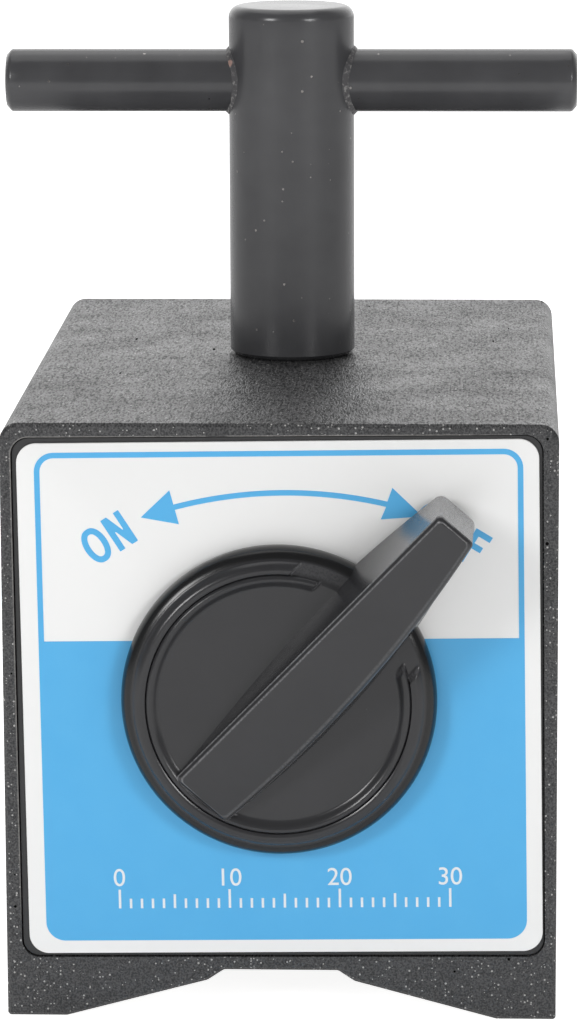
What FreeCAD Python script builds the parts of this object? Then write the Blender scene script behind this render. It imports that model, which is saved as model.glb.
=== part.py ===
import FreeCAD, Part
import math
import os
from FreeCAD import Vector

# Switchable magnetic base with a cross-handle. Millimetres, +X right, +Y to the rear, +Z up.
# The origin lies on the base plane, in the middle of the block's width and depth.

# Rotor: magnet slab between two iron segments and two strips, held by tie rods between two end discs
magnet_t = 12.0
magnet_w = 28.0
strip_t = 1.85
rod_r = 1.5
rod_rim = 1.4
rod_angle = 27.5
rod_seat = 1.6
disc_web = 0.6
rear_disc_t = 4.0
rotor_clear = 0.15
run_clear = 0.05

# Block: iron round the rotor's bore, two poles with a non-magnetic strip brazed between them
block_d = 73.0
bore_side = 9.0
bore_roof = 9.0
bore_floor = 14.0
spacer_w = 10.4
top_round = 1.7
foot_round = 0.3
edge_break = 0.3

# Underside: two flat feet, a shallow vee between them and a flat relief along its middle
foot_w = 5.4
vee_slope = 15.0
relief_depth = 1.0
shoulder_w = 1.5
foot_inner_round = 0.5
shoulder_round = 0.8
relief_round = 0.6

# Front recess, its cover plate and the printed label, each set a little askew as on the real one
recess_side = 1.2
recess_top = 1.1
recess_bottom = 5.75
recess_round = 1.6
recess_tilt = 0.5
cover_land = 0.1
cover_clear = 0.12
label_t = 0.3
label_edge = 0.45
label_round = 1.8
label_x = 0.15
label_tilt = 0.75
label_hole_edge = 1.1
seal_w = 2.4

# Rear recess and its cover plate
rear_recess_side = 2.0
rear_recess_top = 2.0
rear_recess_bottom = 7.0
rear_cover_land = 0.4

# Countersunk screws of both covers
screw_r = 1.5
screw_len = 7.0
screw_head_r = 2.8
screw_head_h = 1.1
screw_edge = 1.5
rear_screw_edge = 0.7
screw_hole_clear = 0.2
screw_tip_gap = 0.5
slot_w = 0.6
slot_depth = 0.6

# Bushes, washers and the stop
bush_t = 4.0
spindle_r = 6.0
rear_spindle_r = 5.0
rear_spindle_gap = 0.4
washer_t = 1.0
washer_w = 2.6
end_float = 0.05
stop_pin_r = 1.5
stop_washer_gap = 0.9
stop_grip = 1.5
stop_tip_gap = 1.3
stop_at = 135.0
stop_clear = 0.2
stop_end_gap = 0.5
spring_gap = 1.2
spring_t = 0.5
spring_w = 5.0
spring_clear = 0.1

# Knob: stepped disc and tapered lever in one moulding; heights are measured from its back
knob_gap = 0.5
turn_range = 90.0
lever_angle = 41.2
disc_r = 14.2
disc_edge = 0.7
disc_slope = 1.1
disc_floor = 2.25
disc_wall_bow = 0.2
shoulder_drop = 0.25
outer_bead_w = 1.2
inner_bead_w = 1.2
valley_rise = 0.25
outer_bead_rise = 0.3
inner_bead_rise = 0.3
outer_bead_gap = (2.7, 1.0)
inner_bead_gap = (0.3, 0.1)
lever_over_rim = 9.7
lever_over_bead = 0.6
lever_lift = 0.8
lever_tail_rise = 0.9
lever_climb = 7.65
lever_edge = 0.4
lever_corner = 0.9
lever_top_corner = 0.45
tang_w = 3.2
tang_edge = 1.5
tang_roof = 0.55
tang_clear = 0.1

# Half-widths of the lever: at its tip, at its widest and at its tail
lever_top_left = (1.65, 2.05, 2.5)
lever_top_right = (2.5, 4.2, 3.6)
lever_foot_left = (1.8, 4.1, 3.1)
lever_foot_right = (2.9, 5.9, 4.3)
lever_waist = 6.0

# Cross-handle: post with a stud in the block's top, and a welded bar
post_r = 6.0
post_h = 33.6
post_x = -0.4
post_y = 2.7
post_top_round = 1.1
post_foot_bevel = 0.5
stud_r = 4.0
stud_floor = 1.5
stud_clear = 0.05
stud_tip_gap = 0.5
stud_bevel = 0.6
bar_r = 3.0
bar_len = 54.6
bar_drop = 7.2
bar_bevel = 0.5
bar_fit = 0.03
weld_w = 1.1
weld_flat = 0.1

# Sizes that follow from those above
rotor_r = magnet_w / 2 + strip_t
bore_r = rotor_r + rotor_clear
knob_z = bore_floor + bore_r
block_w = 2 * (bore_r + bore_side)
block_h = knob_z + bore_r + bore_roof
half_w = block_w / 2
spacer_half = spacer_w / 2
recess_w = block_w - 2 * recess_side
recess_h = block_h - recess_top - recess_bottom
recess_z = recess_bottom + recess_h / 2
label_w = recess_w - 2 * label_edge
label_h = recess_h - 2 * label_edge
rear_recess_w = block_w - 2 * rear_recess_side
rear_recess_h = block_h - rear_recess_top - rear_recess_bottom
rear_recess_z = rear_recess_bottom + rear_recess_h / 2
cover_t = screw_head_h + cover_land
rear_cover_t = screw_head_h + rear_cover_land
recess_depth = cover_t + label_t
seal_r = spindle_r + seal_w
stop_track_r = spindle_r + washer_w + stop_washer_gap + stop_pin_r
stop_slot_depth = stop_grip + stop_tip_gap
front_disc_t = stop_slot_depth + disc_web + rod_seat
rod_track_r = rotor_r - rod_rim - rod_r
disc_shoulder_r = disc_r - disc_slope
bead_valley_r = disc_shoulder_r - outer_bead_w
bead_inner_r = bead_valley_r - inner_bead_w
lever_tip = disc_r + lever_over_rim
lever_tail = bead_inner_r + lever_over_bead
lever_tail_top = disc_floor + lever_tail_rise
lever_tip_top = lever_tail_top + lever_climb
lever_slope = lever_climb / (lever_tip + lever_tail)
tang_l = 2 * (spindle_r - tang_edge)
tang_reach = lever_tail_top + lever_slope * (lever_tail - tang_l / 2) - tang_roof - tang_clear
stud_len = bore_roof - stud_floor - stud_tip_gap
bar_z = block_h + post_h - bar_drop
beyond = 1.0

# Depths of the pieces, from front to rear
y_front = -block_d / 2
y_rear = block_d / 2
y_knob = y_front - knob_gap
y_cover = y_front + label_t
y_recess = y_front + recess_depth
y_bush = y_recess + bush_t
y_disc = y_bush + end_float + washer_t
y_core = y_disc + front_disc_t
y_rear_recess = y_rear - rear_cover_t
y_rear_bush = y_rear_recess - bush_t
y_rear_disc_end = y_rear_bush - spring_gap
y_core_end = y_rear_disc_end - rear_disc_t


def on_face(y):
    """Places a point of the front view (x, z) in the plane at depth y."""
    return lambda x, z: Vector(x, y, z)


def rounded_wire(corners, place):
    """Closed outline through corners (a, b, radius), each rounded by an arc where its radius isn't 0."""
    stops = []
    for i, (a, b, radius) in enumerate(corners):
        corner = Vector(a, b, 0)
        back = Vector(*corners[i - 1][:2], 0) - corner
        ahead = Vector(*corners[(i + 1) % len(corners)][:2], 0) - corner
        back.normalize()
        ahead.normalize()
        if radius == 0:
            stops.append((corner, None, corner))
            continue
        half = back.getAngle(ahead) / 2
        inward = back + ahead
        inward.normalize()
        run = radius / math.tan(half)
        middle = corner + inward * (radius / math.sin(half) - radius)
        stops.append((corner + back * run, middle, corner + ahead * run))
    edges = []
    for i, (start, middle, end) in enumerate(stops):
        if middle is not None:
            arc = [place(p.x, p.y) for p in (start, middle, end)]
            edges.append(Part.Arc(*arc).toShape())
        following = stops[(i + 1) % len(stops)][0]
        edges.append(Part.makeLine(place(end.x, end.y), place(following.x, following.y)))
    return Part.Wire(edges)


def plate(width, height, radius, y, thickness, x=0.0, z=knob_z, tilt=0.0):
    """Rounded rectangle in the front view, thickness deep from y, turned by tilt degrees."""
    a = width / 2
    b = height / 2
    corners = [(-a, -b, radius), (a, -b, radius), (a, b, radius), (-a, b, radius)]
    face = Part.Face(rounded_wire(corners, on_face(0.0)))
    solid = face.extrude(Vector(0, thickness, 0))
    solid.rotate(Vector(0, 0, 0), Vector(0, -1, 0), tilt)
    solid.translate(Vector(x, y, z))
    return solid


def round_bar(radius, y_from, y_to, x=0.0, z=knob_z):
    """Cylinder along Y between two depths."""
    return Part.makeCylinder(radius, y_to - y_from, Vector(x, y_from, z), Vector(0, 1, 0))


def ring(inner_r, outer_r, y_from, y_to):
    """Flat ring on the rotor's axis between two depths."""
    return round_bar(outer_r, y_from, y_to).cut(round_bar(inner_r, y_from, y_to))


def brick(x_from, x_to, y_from, y_to, z_from, z_to):
    """Box between two corners."""
    size = (x_to - x_from, y_to - y_from, z_to - z_from)
    return Part.makeBox(*size, Vector(x_from, y_from, z_from))


def clockwise(radius, degrees):
    """Point (x, z) at a radius from the rotor's axis, degrees clockwise from straight up."""
    angle = math.radians(degrees)
    return radius * math.sin(angle), knob_z + radius * math.cos(angle)


def save(name, *solids):
    """Writes one sub-part, a single solid or a group of separate ones."""
    shape = solids[0] if len(solids) == 1 else Part.makeCompound(list(solids))
    shape.exportStep("parts/" + name + ".step")


def screw_places(width, height, z, edge):
    """Centres (x, z) of four cover screws, set in from the corners of a recess."""
    reach = width / 2 - screw_head_r - edge
    rise = height / 2 - screw_head_r - edge
    return [(sx * reach, z + sz * rise) for sx in (-1, 1) for sz in (-1, 1)]


def block_outline():
    """Corners of the block's front view: rounded top, feet, vee and relief."""
    foot_x = half_w - foot_w
    shoulder_x = spacer_half + shoulder_w
    shoulder_z = (foot_x - shoulder_x) * math.tan(math.radians(vee_slope))
    right = [
        (half_w, block_h, top_round),
        (half_w, 0.0, foot_round),
        (foot_x, 0.0, foot_inner_round),
        (shoulder_x, shoulder_z, shoulder_round),
        (spacer_half, shoulder_z + relief_depth, relief_round),
    ]
    left = [(-x, z, r) for x, z, r in reversed(right)]
    return right + left


def machined_block():
    """The brazed block before it is parted: outline, bore, both recesses and every tapped hole."""
    face = Part.Face(rounded_wire(block_outline(), on_face(y_front)))
    block = face.extrude(Vector(0, block_d, 0))
    ends = [e for e in block.Edges if abs(e.BoundBox.YMin - e.BoundBox.YMax) < edge_break / 2]
    block = block.makeChamfer(edge_break, ends)
    block = block.cut(round_bar(bore_r, y_front - beyond, y_rear + beyond))
    front = plate(recess_w, recess_h, recess_round, y_front - beyond,
                  recess_depth + beyond, z=recess_z, tilt=recess_tilt)
    rear = plate(rear_recess_w, rear_recess_h, recess_round, y_rear_recess,
                 rear_cover_t + beyond, z=rear_recess_z)
    block = block.cut(front).cut(rear)
    depth = screw_len + screw_tip_gap
    for x, z in front_places:
        block = block.cut(round_bar(screw_r, y_front, y_cover + depth, x, z))
    for x, z in rear_places:
        block = block.cut(round_bar(screw_r, y_rear - depth, y_rear, x, z))
    hole = Part.makeCylinder(stud_r + stud_clear, stud_len + stud_tip_gap + beyond,
                             Vector(post_x, post_y, block_h - stud_len - stud_tip_gap))
    return block.cut(hole)


def block_pieces():
    """Parts the machined block at its brazed seams: both poles and the strips between them."""
    block = machined_block()
    span = (y_front - beyond, y_rear + beyond, -beyond, block_h + beyond)
    left = block.common(brick(-half_w - beyond, -spacer_half, *span))
    right = block.common(brick(spacer_half, half_w + beyond, *span))
    middle = block.common(brick(-spacer_half, spacer_half, *span))
    strips = sorted(middle.Solids, key=lambda s: s.CenterOfMass.z)
    return left.Solids[0], right.Solids[0], strips[0], strips[-1]


def screw(x, z, y_head, inward):
    """Slotted countersunk screw; inward is +1 for the front cover and -1 for the rear one."""
    axis = Vector(0, inward, 0)
    head = Part.makeCone(screw_head_r, screw_r, screw_head_h, Vector(x, y_head, z), axis)
    shank = Part.makeCylinder(screw_r, screw_len, Vector(x, y_head, z), axis)
    slot = brick(x - screw_head_r, x + screw_head_r, -slot_depth, slot_depth,
                 z - slot_w / 2, z + slot_w / 2)
    slot.translate(Vector(0, y_head, 0))
    return head.fuse(shank).removeSplitter().cut(slot)


def countersink(cover, places, y_head, inward):
    """Cuts the screw holes into a cover plate."""
    axis = Vector(0, inward, 0)
    through = cover_t + rear_cover_t
    for x, z in places:
        place = Vector(x, y_head, z)
        cover = cover.cut(Part.makeCone(screw_head_r, screw_r, screw_head_h, place, axis))
        cover = cover.cut(Part.makeCylinder(screw_r + screw_hole_clear, through, place, axis))
    return cover


def front_cover():
    """Smooth plate in the front recess, with the hole for the spindle's felt ring."""
    cover = plate(recess_w - 2 * cover_clear, recess_h - 2 * cover_clear, recess_round - cover_clear,
                  y_cover, cover_t, z=recess_z, tilt=recess_tilt)
    cover = cover.cut(round_bar(seal_r, y_front, y_recess))
    return countersink(cover, front_places, y_cover, 1)


def label_plate():
    """Printed sheet on the cover, its face level with the block's front."""
    sheet = plate(label_w, label_h, label_round, y_front, label_t, label_x, recess_z, label_tilt)
    return sheet.cut(round_bar(seal_r + label_hole_edge, y_front, y_cover))


def rear_cover():
    """Plate in the rear recess, level with the block's rear face."""
    cover = plate(rear_recess_w - 2 * cover_clear, rear_recess_h - 2 * cover_clear,
                  recess_round - cover_clear, y_rear_recess, rear_cover_t, z=rear_recess_z)
    return countersink(cover, rear_places, y_rear, -1)


def front_bush():
    """Bearing ring in the front of the bore, with the hole that the stop pin is pressed into."""
    x, z = clockwise(stop_track_r, stop_at)
    bush = ring(spindle_r + run_clear, bore_r, y_recess, y_bush)
    return bush.cut(round_bar(stop_pin_r, y_recess, y_bush, x, z))


def disc_spring():
    """Dished washer: its outer rim rests on the rear bush, its inner rim bears on the rotor."""
    inner = rear_spindle_r + end_float + spring_clear
    outer = inner + spring_w
    front = y_rear_disc_end + spring_clear
    rear = y_rear_bush - spring_t
    section = [(inner, front), (outer, rear), (outer, rear + spring_t), (inner, front + spring_t)]
    points = [Vector(r, y, knob_z) for r, y in section + section[:1]]
    face = Part.Face(Part.makePolygon(points))
    return face.revolve(Vector(0, 0, knob_z), Vector(0, 1, 0), 360)


def stop_slot():
    """Curved slot in the front disc, as long as the knob's turn."""
    inner = stop_track_r - stop_pin_r - stop_clear
    outer = stop_track_r + stop_pin_r + stop_clear
    first = stop_at - stop_end_gap
    last = stop_at + turn_range + stop_end_gap
    x, z = clockwise(1.0, first)
    y_floor = y_disc + stop_slot_depth
    section = [(inner, y_disc), (outer, y_disc), (outer, y_floor), (inner, y_floor)]
    points = [Vector(r * x, y, knob_z + r * (z - knob_z)) for r, y in section + section[:1]]
    face = Part.Face(Part.makePolygon(points))
    slot = face.revolve(Vector(0, 0, knob_z), Vector(0, 1, 0), last - first)
    for degrees in (first, last):
        x, z = clockwise(stop_track_r, degrees)
        slot = slot.fuse(round_bar((outer - inner) / 2, y_disc, y_floor, x, z))
    return slot


def rod_places():
    """Centres (x, z) of the rotor's tie rods, on both sides of the top and of the bottom."""
    return [clockwise(rod_track_r, side + sign * rod_angle) for side in (0, 180) for sign in (-1, 1)]


def with_rod_holes(shape, y_from, y_to):
    """Cuts the tie rods' holes between two depths."""
    for x, z in rod_places():
        shape = shape.cut(round_bar(rod_r, y_from, y_to, x, z))
    return shape


def tie_rods():
    """Rods from the front disc's blind holes through the segments to the rear disc's face."""
    return [round_bar(rod_r, y_core - rod_seat, y_rear_disc_end, x, z) for x, z in rod_places()]


def lever_frame():
    """Turns the lever's own (along, left, out) into the part's frame."""
    angle = math.radians(lever_angle)
    along = Vector(math.sin(angle), 0, math.cos(angle))
    left = Vector(-math.cos(angle), 0, math.sin(angle))
    origin = Vector(0, y_knob, knob_z)
    return lambda u, v, out: origin + along * u + left * v - Vector(0, out, 0)


def tang(clear):
    """Flat end of the spindle that drives the knob, grown all round by a clearance."""
    block = brick(-tang_w / 2 - clear, tang_w / 2 + clear, y_knob - tang_reach - clear, y_knob,
                  -tang_l / 2 - clear, tang_l / 2 + clear)
    block.rotate(Vector(0, 0, 0), Vector(0, 1, 0), lever_angle)
    block.translate(Vector(0, 0, knob_z))
    return block


def rotor_front_disc():
    """End disc with the front spindle, its driving tang and the stop slot."""
    disc = round_bar(rotor_r, y_disc, y_core).fuse(round_bar(spindle_r, y_knob, y_disc))
    disc = disc.fuse(tang(0.0)).removeSplitter()
    return with_rod_holes(disc.cut(stop_slot()), y_core - rod_seat, y_core)


def rotor_rear_disc():
    """End disc with the rear spindle; the tie rods are riveted over its face."""
    disc = round_bar(rotor_r, y_core_end, y_rear_disc_end)
    disc = disc.fuse(round_bar(rear_spindle_r, y_rear_disc_end, y_rear_recess - rear_spindle_gap))
    return with_rod_holes(disc.removeSplitter(), y_core_end, y_rear_disc_end)


def rotor_segment(side):
    """Iron segment above (+1) or below (-1) the magnet."""
    low, high = sorted((side * magnet_t / 2, side * bore_r))
    half = brick(-bore_r, bore_r, y_core, y_core_end, knob_z + low, knob_z + high)
    return with_rod_holes(round_bar(rotor_r, y_core, y_core_end).common(half), y_core, y_core_end)


def rotor_strip(side):
    """Strip that closes the rotor's round to the right (+1) or left (-1) of the magnet."""
    low, high = sorted((side * magnet_w / 2, side * bore_r))
    half = brick(low, high, y_core, y_core_end, knob_z - magnet_t / 2, knob_z + magnet_t / 2)
    return round_bar(rotor_r, y_core, y_core_end).common(half)


def lever_outline(left, right, out_tip, out_tail, inset, corner):
    """One section of the lever, between its tip and tail heights, drawn in by inset all round."""
    frame = lever_frame()
    tip = lever_tip - inset
    tail = -lever_tail + inset
    slope = (out_tip - out_tail) / (lever_tip + lever_tail)

    def at(u, v):
        return frame(u, v, out_tail + slope * (u + lever_tail))

    def side_edge(widths, sign):
        near, wide, far = [sign * (w - inset) for w in widths]
        return at(tip - corner, near), at(lever_waist, wide), at(tail + corner, far)

    right_side = side_edge(right, -1)
    left_side = side_edge(left, 1)
    tip_right = at(tip, -(right[0] - inset - corner))
    tip_left = at(tip, left[0] - inset - corner)
    tail_right = at(tail, -(right[2] - inset - corner))
    tail_left = at(tail, left[2] - inset - corner)
    edges = [
        Part.makeLine(tip_left, tip_right),
        corner_arc(tip_right, at(tip, -(right[0] - inset)), right_side[0]),
        Part.Arc(*right_side).toShape(),
        corner_arc(right_side[2], at(tail, -(right[2] - inset)), tail_right),
        Part.makeLine(tail_right, tail_left),
        corner_arc(tail_left, at(tail, left[2] - inset), left_side[2]),
        Part.Arc(*reversed(left_side)).toShape(),
        corner_arc(left_side[0], at(tip, left[0] - inset), tip_left),
    ]
    return Part.Wire(edges)


def corner_arc(start, corner, end):
    """Quarter round between two points that lie equally far from their corner."""
    chord = (start + end) * 0.5
    return Part.Arc(start, chord + (corner - chord) * (math.sqrt(2) - 1), end).toShape()


def lever():
    """Tapered lever: flared foot, sloping top and a narrow bevel round the top."""
    foot = lever_outline(lever_foot_left, lever_foot_right, lever_lift, lever_lift, 0.0, lever_corner)
    brow = lever_outline(lever_top_left, lever_top_right, lever_tip_top - lever_edge,
                         lever_tail_top - lever_edge, 0.0, lever_top_corner)
    top = lever_outline(lever_top_left, lever_top_right, lever_tip_top, lever_tail_top,
                        lever_edge, lever_top_corner)
    return Part.makeLoft([foot, brow, top], True, True)


def knob_disc():
    """Disc of the knob, turned about its axis: bowed wall, two beads with a valley between, flat floor."""
    def at(r, out):
        return Vector(r, y_knob - out, knob_z)

    def arched(outer, inner, rise, swell=0.0):
        middle = at((outer[0] + inner[0]) / 2 + swell, (outer[1] + inner[1]) / 2 + rise)
        return Part.Arc(at(*outer), middle, at(*inner)).toShape()

    edge = (disc_r, disc_edge)
    shoulder = (disc_shoulder_r, disc_floor - shoulder_drop)
    valley = (bead_valley_r, disc_floor + valley_rise)
    floor = (bead_inner_r, disc_floor)
    edges = [
        Part.makeLine(at(0, 0), at(disc_r, 0)),
        Part.makeLine(at(disc_r, 0), at(*edge)),
        arched(edge, shoulder, disc_wall_bow, disc_wall_bow),
        arched(shoulder, valley, outer_bead_rise),
        arched(valley, floor, inner_bead_rise),
        Part.makeLine(at(*floor), at(0, disc_floor)),
        Part.makeLine(at(0, disc_floor), at(0, 0)),
    ]
    face = Part.Face(Part.Wire(edges))
    return face.revolve(Vector(0, 0, knob_z), Vector(0, 1, 0), 360)


def bead_stop(inner_r, outer_r, gaps):
    """Room cut out of a bead to the left and right of the lever, where it runs out over the rim."""
    left = max(lever_foot_left) + gaps[0]
    right = max(lever_foot_right) + gaps[1]
    room = brick(-left, right, y_knob - lever_tip_top, y_knob - disc_floor, 0, disc_r)
    room.rotate(Vector(0, 0, 0), Vector(0, 1, 0), lever_angle)
    room.translate(Vector(0, 0, knob_z))
    return room.common(ring(inner_r, outer_r, y_knob - lever_tip_top, y_knob))


def knob():
    """Disc with its beads stopped short of the lever, the lever on it and the socket for the tang."""
    body = knob_disc().cut(bead_stop(bead_valley_r, disc_shoulder_r, outer_bead_gap))
    body = body.cut(bead_stop(bead_inner_r, bead_valley_r, inner_bead_gap))
    return body.fuse(lever()).removeSplitter().cut(tang(tang_clear))


def handle_post():
    """Turned post: stud, bevelled foot, rounded top, and the hole that the bar passes through."""
    base = block_h
    top = block_h + post_h
    end = base - stud_len

    def at(r, z):
        return Vector(post_x + r, post_y, z)

    crown = post_top_round * (1 - math.sqrt(0.5))
    edges = [
        Part.makeLine(at(0, end), at(stud_r - stud_bevel, end)),
        Part.makeLine(at(stud_r - stud_bevel, end), at(stud_r, end + stud_bevel)),
        Part.makeLine(at(stud_r, end + stud_bevel), at(stud_r, base)),
        Part.makeLine(at(stud_r, base), at(post_r - post_foot_bevel, base)),
        Part.makeLine(at(post_r - post_foot_bevel, base), at(post_r, base + post_foot_bevel)),
        Part.makeLine(at(post_r, base + post_foot_bevel), at(post_r, top - post_top_round)),
        Part.Arc(at(post_r, top - post_top_round), at(post_r - crown, top - crown),
                 at(post_r - post_top_round, top)).toShape(),
        Part.makeLine(at(post_r - post_top_round, top), at(0, top)),
        Part.makeLine(at(0, top), at(0, end)),
    ]
    post = Part.Face(Part.Wire(edges)).revolve(Vector(post_x, post_y, 0), Vector(0, 0, 1), 360)
    return post.cut(bar_cylinder(bar_r + bar_fit, bar_len))


def bar_cylinder(radius, length):
    """Cylinder along the cross-bar's axis, centred on the post."""
    start = Vector(post_x - length / 2, post_y, bar_z)
    return Part.makeCylinder(radius, length, start, Vector(1, 0, 0))


def cross_bar():
    """Round bar with bevelled ends."""
    bar = bar_cylinder(bar_r, bar_len)
    rims = [e for e in bar.Edges if e.Closed]
    return bar.makeChamfer(bar_bevel, rims)


def weld_bead(side):
    """Fillet of weld round the bar where it enters the post: a ring with a bevelled outer rim."""
    rim = bar_r + weld_w
    within = math.sqrt(post_r ** 2 - rim ** 2)
    flat_end = post_r + weld_flat
    section = [(within, bar_r), (within, rim), (flat_end, rim), (flat_end + weld_w, bar_r)]
    points = [Vector(post_x + side * out, post_y, bar_z + r) for out, r in section + section[:1]]
    face = Part.Face(Part.makePolygon(points))
    bead = face.revolve(Vector(0, post_y, bar_z), Vector(1, 0, 0), 360)
    return bead.cut(Part.makeCylinder(post_r, post_h, Vector(post_x, post_y, block_h)))


os.makedirs("parts", exist_ok=True)
front_places = screw_places(recess_w, recess_h, recess_z, screw_edge)
rear_places = screw_places(rear_recess_w, rear_recess_h, rear_recess_z, rear_screw_edge)
stop_x, stop_z = clockwise(stop_track_r, stop_at)
pole_left, pole_right, strip_low, strip_high = block_pieces()

save("pole_left", pole_left)
save("pole_right", pole_right)
save("spacer_bottom", strip_low)
save("spacer_top", strip_high)
save("front_cover", front_cover())
save("label_plate", label_plate())
save("rear_cover", rear_cover())
save("front_cover_screws", *[screw(x, z, y_cover, 1) for x, z in front_places])
save("rear_cover_screws", *[screw(x, z, y_rear, -1) for x, z in rear_places])
save("front_bush", front_bush())
save("rear_bush", ring(rear_spindle_r + run_clear, bore_r, y_rear_bush, y_rear_recess))
save("spindle_seal", ring(spindle_r + run_clear, seal_r, y_cover, y_recess))
save("stop_pin", round_bar(stop_pin_r, y_recess, y_disc + stop_grip, stop_x, stop_z))
save("disc_spring", disc_spring())
save("rotor_front_disc", rotor_front_disc())
save("rotor_rear_disc", rotor_rear_disc())
save("thrust_washer", ring(spindle_r, spindle_r + washer_w, y_disc - washer_t, y_disc))
save("magnet", brick(-magnet_w / 2, magnet_w / 2, y_core, y_core_end,
                     knob_z - magnet_t / 2, knob_z + magnet_t / 2))
save("rotor_pole_upper", rotor_segment(1))
save("rotor_pole_lower", rotor_segment(-1))
save("rotor_side_strips", rotor_strip(-1), rotor_strip(1))
save("rotor_tie_rods", *tie_rods())
save("knob", knob())
save("handle_post", handle_post())
save("cross_bar", cross_bar())
save("weld_beads", weld_bead(-1), weld_bead(1))
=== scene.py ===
import math

import bmesh
import bpy
import numpy as np
from mathutils import Matrix, Vector
from mathutils.geometry import tessellate_polygon


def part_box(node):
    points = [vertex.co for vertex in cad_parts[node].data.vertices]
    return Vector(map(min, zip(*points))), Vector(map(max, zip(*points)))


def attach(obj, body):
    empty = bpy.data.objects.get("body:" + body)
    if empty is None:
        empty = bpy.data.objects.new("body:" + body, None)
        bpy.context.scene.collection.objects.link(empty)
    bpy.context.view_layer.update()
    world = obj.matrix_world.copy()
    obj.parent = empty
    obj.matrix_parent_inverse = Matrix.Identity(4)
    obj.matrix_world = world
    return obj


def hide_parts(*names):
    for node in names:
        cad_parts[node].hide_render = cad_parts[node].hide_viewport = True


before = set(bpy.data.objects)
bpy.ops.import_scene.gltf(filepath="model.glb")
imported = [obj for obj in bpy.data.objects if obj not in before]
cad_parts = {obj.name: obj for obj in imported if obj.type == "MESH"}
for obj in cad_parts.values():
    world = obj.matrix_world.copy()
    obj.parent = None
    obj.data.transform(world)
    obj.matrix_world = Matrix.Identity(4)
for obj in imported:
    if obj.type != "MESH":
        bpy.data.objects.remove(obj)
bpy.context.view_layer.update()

# Block: two soft-iron poles with a strip brazed between them above and below the bore.
# The block is machined as one, then painted black all over with a fine grained paint,
# and only its feet and its vee are ground bare again.
mm = 0.001


def linear(code):
    """sRGB hex colour as linear red, green, blue and alpha: a straight line for the darkest tones and a power
    curve above them."""
    shares = [int(code[i:i + 2], 16) / 255 for i in (1, 3, 5)]
    return [s / 12.92 if s <= 0.04045 else ((s + 0.055) / 1.055) ** 2.4 for s in shares] + [1.0]


def add(tree, kind, sockets, **settings):
    """Adds one shader node with its settings. Each socket given by name or number is set to a value, or
    linked to another socket or to the first output that is in use on another node."""
    made = tree.nodes.new(kind)
    for name, value in settings.items():
        setattr(made, name, value)
    for name, value in sockets.items():
        if isinstance(value, bpy.types.Node):
            value = next(output for output in value.outputs if output.enabled)
        if isinstance(value, bpy.types.NodeSocket):
            tree.links.new(value, made.inputs[name])
        else:
            made.inputs[name].default_value = value
    return made


def new_material(name):
    """An empty procedural material: returns it, its node tree and its Object coordinates."""
    made = bpy.data.materials.new(name)
    made.use_nodes = True
    made.node_tree.nodes.clear()
    place = add(made.node_tree, "ShaderNodeTexCoord", {})
    return made, made.node_tree, place.outputs["Object"]


def finish_material(tree, sockets):
    """Closes a material with the one shader that all of them use."""
    shader = add(tree, "ShaderNodeBsdfPrincipled", sockets)
    add(tree, "ShaderNodeOutputMaterial", {"Surface": shader})


def dress(node, material):
    """Gives a carried-over piece its finish."""
    for material_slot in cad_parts[node].material_slots:
        material_slot.material = material


# The colour mix node's two colours go by number, as its sockets for numbers and colours share names.
A_COLOUR = 6
B_COLOUR = 7


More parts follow.
